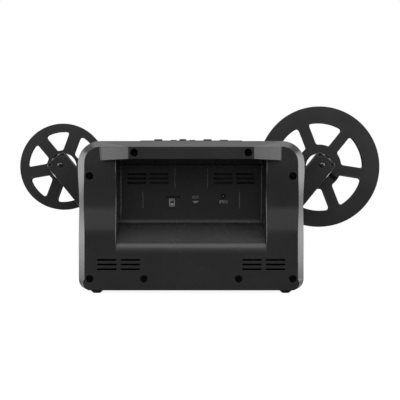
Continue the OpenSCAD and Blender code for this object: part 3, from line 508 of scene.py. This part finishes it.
def piece(name, bm, finish, body, smooth=True):
    mesh = bpy.data.meshes.new(name)
    bm.to_mesh(mesh)
    bm.free()
    for face in mesh.polygons:
        face.use_smooth = smooth
    mesh.materials.append(finishes[finish])
    made = bpy.data.objects.new(name, mesh)
    scene.collection.objects.link(made)
    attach(made, body)
    return made


def ownName(node, ending):
    first, *others = node.split("_")
    return first + "".join(word.capitalize() for word in others) + ending


def bevelEdges(bm, chosen, width, steps, clamp=False):
    bmesh.ops.bevel(bm, geom=chosen, offset=width, offset_type="OFFSET", segments=steps, profile=0.5,
                    affect="EDGES", material=-1, clamp_overlap=clamp)


def softened(bm, width):
    bevelEdges(bm, bm.edges, width, 2, True)


def roundEdges(made, width):
    bevel = made.modifiers.new("roundedEdges", "BEVEL")
    bevel.width = width
    bevel.segments = edges["segments"]
    bevel.limit_method = "ANGLE"
    bevel.angle_limit = math.radians(edges["sharp"])
    bevel.use_clamp_overlap = False
    flow = made.modifiers.new("evenNormals", "WEIGHTED_NORMAL")
    flow.keep_sharp = False
    flow.weight = edges["evenness"]


# wider rounds on the rear cover: recess mouth, corners of its back wall, feet of the slanted grip ends
bodyMiddle = 0.0127  # across is measured from here
rounds = {
    "mouth": {"across": (0.1019, 0.1021), "deep": (0.035, 0.06), "high": (0.052, 0.1815), "convex": True,
              "width": 0.003, "steps": 6},
    "backCorner": {"across": (0.1019, 0.1021), "deep": (-0.0206, -0.0204), "high": (0.1, 0.1815),
                   "convex": False, "width": 0.0018, "steps": 5},
    "gripFoot": {"across": (0.1225, 0.1245), "deep": (0.0465, 0.0475), "high": (0.18, 0.201),
                 "convex": False, "width": 0.0022, "steps": 4},
}


def roundBack(bm):
    for name, look in rounds.items():
        limits = (look["across"], look["deep"], look["high"])
        chosen = []
        for edge in bm.edges:
            if not edge.is_manifold or edge.is_convex != look["convex"]:
                continue
            reaches = [(abs(v.co.x - bodyMiddle), v.co.y, v.co.z) for v in edge.verts]
            within = all(low <= value <= high
                         for reach in reaches for value, (low, high) in zip(reach, limits))
            if within and edge.calc_face_angle() >= edges["folded"]:
                chosen.append(edge)
        print("round", name, len(chosen))
        bevelEdges(bm, chosen, look["width"], look["steps"])


def shellOf(node, finish, width):
    bm = bmesh.new()
    bm.from_mesh(nodes[node].data)
    bmesh.ops.remove_doubles(bm, verts=bm.verts, dist=edges["merge"])
    bmesh.ops.dissolve_limit(bm, angle_limit=math.radians(edges["flat"]), verts=bm.verts, edges=bm.edges)
    if node == "front_cover":
        bmesh.ops.connect_verts_concave(bm, faces=bm.faces)
    if node == "rear_cover":
        roundBack(bm)
    made = piece(ownName(node, "Shell"), bm, finish, bodyOf[node])
    roundEdges(made, width)
    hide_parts(node)


for finish, width, members in shells:
    for node in members:
        shellOf(node, finish, width)
for finish, members in sealed.items():
    for node in members:
        data = nodes[node].data
        data.materials.clear()
        data.materials.append(finishes[finish])
print("shells rounded and sealed nodes finished")


# shapes for the small pieces

def slab(bm, place, size, turn=(0, 0, 0)):
    spot = Matrix.Translation(place) @ turnBy(turn) @ Matrix.Diagonal((*size, 1))
    bmesh.ops.create_cube(bm, size=1, matrix=spot)


def plate(bm, place, wide, high):
    spot = Matrix.Translation(place) @ turnBy((90, 0, 0)) @ Matrix.Diagonal((wide, high, 1, 1))
    return bmesh.ops.create_grid(bm, x_segments=1, y_segments=1, size=0.5, matrix=spot)["verts"]


def plug(bm, place, radius, height, turn=(0, 0, 0), sides=24):
    bmesh.ops.create_cone(bm, cap_ends=True, segments=sides, radius1=radius, radius2=radius, depth=height,
                          matrix=Matrix.Translation(place) @ turnBy(turn))


def band(bm, place, radius, wide, high, steps=28):
    profile = plate(bm, Vector(place) + Vector((radius, 0, 0)), wide, high)
    outline = list({edge for v in profile for edge in v.link_edges})
    bmesh.ops.delete(bm, geom=list(profile[0].link_faces), context="FACES_ONLY")
    bmesh.ops.spin(bm, geom=profile + outline, cent=place, axis=(0, 0, 1), angle=math.tau, steps=steps,
                   use_merge=True)


def flatBars(bm, middle, bars, thick):
    for x, y, wide, deep, turn in bars:
        slab(bm, (middle[0] + x * mm, middle[1] + y * mm, middle[2]), (wide * mm, deep * mm, thick),
             (0, 0, turn))


# what shows in the openings: bed and spring of the card slot, tongue of the data socket, jack pin, and black
# sheets behind the vents as painted shade
contacts = {
    "cardBed": {"place": (0.0376, -0.0238, 0.1353), "size": (0.0251, 0.002, 0.0027), "edge": 0.0002,
                "finish": "jackPlastic", "node": "card_socket", "slot": "jack_plastic"},
    "cardSpring": {"place": (0.0268, -0.0225, 0.1353), "size": (0.0015, 0.0012, 0.001), "edge": 0.0002,
                   "finish": "sheetSteel", "node": "card_socket", "slot": "bright_steel"},
    "dataTongue": {"place": (0.0065, -0.0252, 0.135), "size": (0.0068, 0.0054, 0.0017), "edge": 0.0003,
                   "finish": "jackPlastic", "node": "usb_socket", "slot": "jack_plastic"},
}
# near-black sheets behind the vent slots: painted shade for the shadowed inside of the housing
for side, across in (("left", 0.0764), ("right", -0.051)):
    contacts[side + "VentPaintedShade"] = {
        "place": (across, -0.0234, 0.1615), "size": (0.069, 0.0005, 0.023), "edge": 0.0001,
        "finish": "jackPlastic", "node": "rear_cover", "slot": "jack_plastic"}
jackPin = {"place": (-0.0338, -0.0226, 0.1362), "radius": 0.001, "length": 0.0032, "edge": 0.0004, "steps": 3}


def fillSockets():
    for name, look in contacts.items():
        bm = bmesh.new()
        slab(bm, look["place"], look["size"])
        softened(bm, look["edge"])
        piece(name, bm, look["finish"], bodyOf[look["node"]])
    bm = bmesh.new()
    plug(bm, jackPin["place"], jackPin["radius"], jackPin["length"], (90, 0, 0))
    tip = [edge for edge in bm.edges if all(v.co.y > jackPin["place"][1] for v in edge.verts)]
    bevelEdges(bm, tip, jackPin["edge"], jackPin["steps"])
    piece("jackPin", bm, "turnedSteel", bodyOf["dc_jack"])


fillSockets()
print("sockets filled:", len(contacts) + 1)

# painted highlights: fine pale strips where the edges of the port panel catch the light: (x, z, high) in
# millimetres
panelHighlightLines = {"wall": -0.0205, "wide": 0.0002, "thick": 0.0003, "edge": 0.00004, "lines": [
    (82.6, 130.5, 23), (-57.2, 130.5, 23), (36.3, 162.5, 29), (-10.9, 162.5, 29)]}


def paintPanelHighlights():
    look = panelHighlightLines
    bm = bmesh.new()
    for x, z, high in look["lines"]:
        slab(bm, (x * mm, look["wall"], z * mm), (look["wide"], look["thick"], high * mm))
    softened(bm, look["edge"])
    # the pale print finish on these strips is a painted highlight of the panel edges
    piece("panelRibs", bm, "printedMark", bodyOf["rear_cover"])


paintPanelHighlights()

# plain signs printed under the ports, in millimetres from the middle of each: bars (x, z, wide, high, turn)
portSigns = {
    "cardSign": {"at": (0.0405, 0.1271), "bars": [
        (3.5, 0, 0.9, 11, 0), (-3.5, -1.2, 0.9, 8.6, 0), (0, -5.1, 7.9, 0.9, 0), (1.1, 5.1, 5.6, 0.9, 0),
        (-2.6, 4.1, 0.9, 3, -42), (1.7, 2.9, 0.9, 2.2, 0), (0, 2.9, 0.9, 2.2, 0), (0, -2.3, 4.4, 2.8, 0)]},
    "dataSign": {"at": (0.0065, 0.1278), "bars": [
        (0, 0.95, 8.2, 0.9, 0), (0, -0.95, 5.2, 0.9, 0)]},
    "powerSign": {"at": (-0.0341, 0.1278), "bars": [
        (0, 1.4, 12, 0.8, 0), (-4.6, -1.2, 2.6, 0.8, 0), (0, -1.2, 2.6, 0.8, 0), (4.6, -1.2, 2.6, 0.8, 0)]},
}
signPrint = {"wall": -0.02097, "thick": 0.00012}


def printSigns():
    for name, look in portSigns.items():
        bm = bmesh.new()
        for x, z, wide, high, turn in look["bars"]:
            place = (look["at"][0] + x * mm, signPrint["wall"], look["at"][1] + z * mm)
            slab(bm, place, (wide * mm, signPrint["thick"], high * mm), (0, turn, 0))
        piece(name, bm, "printedMark", bodyOf["rear_cover"], False)


printSigns()

# plain signs on the keys, in millimetres from the middle of each key:
# bands (radius), bars (x, y, wide, deep, turn), dots (radius, sides, turn)
keySigns = {
    "power_key": {"bands": [2.4], "bars": [(0, 2.2, 0.7, 2.4, 0)]},
    "menu_key": {"bars": [(0, 1.7, 5, 0.7, 0), (0, 0, 5, 0.7, 0), (0, -1.7, 5, 0.7, 0)]},
    "record_key": {"dots": [(2.1, 24, 0)]},
    "pad_ok_key": {"bands": [1.9]},
    "pad_left_key": {"dots": [(1.6, 3, -90)]},
    "pad_right_key": {"dots": [(1.6, 3, 90)]},
    "pad_rear_key": {"dots": [(1.4, 3, 0)]},
    "pad_front_key": {"dots": [(1.4, 3, 180)]},
}
keyPrint = {"thick": 0.00016, "line": 0.0006}


def signKeys():
    for node, look in keySigns.items():
        low, high = (Vector(corner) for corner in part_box(node))
        middle = ((low.x + high.x) / 2, (low.y + high.y) / 2, high.z)
        bm = bmesh.new()
        for radius in look.get("bands", []):
            band(bm, middle, radius * mm, keyPrint["line"], keyPrint["thick"])
        flatBars(bm, middle, look.get("bars", []), keyPrint["thick"])
        for radius, sides, turn in look.get("dots", []):
            plug(bm, middle, radius * mm, keyPrint["thick"], (0, 0, turn), sides)
        bmesh.ops.recalc_face_normals(bm, faces=bm.faces)
        piece(ownName(node, "Sign"), bm, "printedMark", bodyOf[node], False)


signKeys()

# bezel of the display, glossy, over the edge of the glass
bezel = {"over": 0.0012, "around": 0.0024, "proud": 0.0005, "sunk": 0.0001, "edge": 0.0002}


def frameDisplay():
    low, high = (Vector(corner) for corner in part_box("display_glass"))
    middle = Vector(((low.x + high.x) / 2, low.y + bezel["sunk"], (low.z + high.z) / 2))
    bm = bmesh.new()
    plate(bm, middle, high.x - low.x + 2 * bezel["around"], high.z - low.z + 2 * bezel["around"])
    bmesh.ops.inset_region(bm, faces=bm.faces[:], thickness=bezel["over"] + bezel["around"],
                           use_boundary=True, use_even_offset=True)
    pane = min(bm.faces, key=lambda face: (face.calc_center_median() - middle).length)
    bmesh.ops.delete(bm, geom=[pane], context="FACES_ONLY")
    grown = bmesh.ops.extrude_face_region(bm, geom=bm.faces[:])
    front = [v for v in grown["geom"] if isinstance(v, bmesh.types.BMVert)]
    bmesh.ops.translate(bm, verts=front, vec=(0, -bezel["proud"] - bezel["sunk"], 0))
    bmesh.ops.recalc_face_normals(bm, faces=bm.faces)
    softened(bm, bezel["edge"])
    piece("displayBezel", bm, "reelPlastic", bodyOf["display_glass"])


frameDisplay()

# arrows along the front of the film deck, the way the film runs: bars (x, y, wide, deep, turn) in millimetres
deckArrows = {"middles": (0.0767, -0.0513), "row": -0.0618, "above": 0.3, "thick": 0.00012, "bars": [
    (1, 0, 26, 0.7, 0), (-10.6, 1, 4, 0.7, 33), (-10.6, -1, 4, 0.7, -33)]}


def printArrows():
    deck = bmesh.new()
    deck.from_mesh(nodes["film_deck"].data)
    surface = BVHTree.FromBMesh(deck)
    deck.free()
    bm = bmesh.new()
    for across in deckArrows["middles"]:
        spot = surface.ray_cast((across, deckArrows["row"], deckArrows["above"]), (0, 0, -1))[0]
        flatBars(bm, (across, deckArrows["row"], spot.z), deckArrows["bars"], deckArrows["thick"])
    piece("deckArrows", bm, "printedMark", bodyOf["film_deck"], False)


printArrows()
print("signs printed:", len(portSigns) + len(keySigns) + 1)
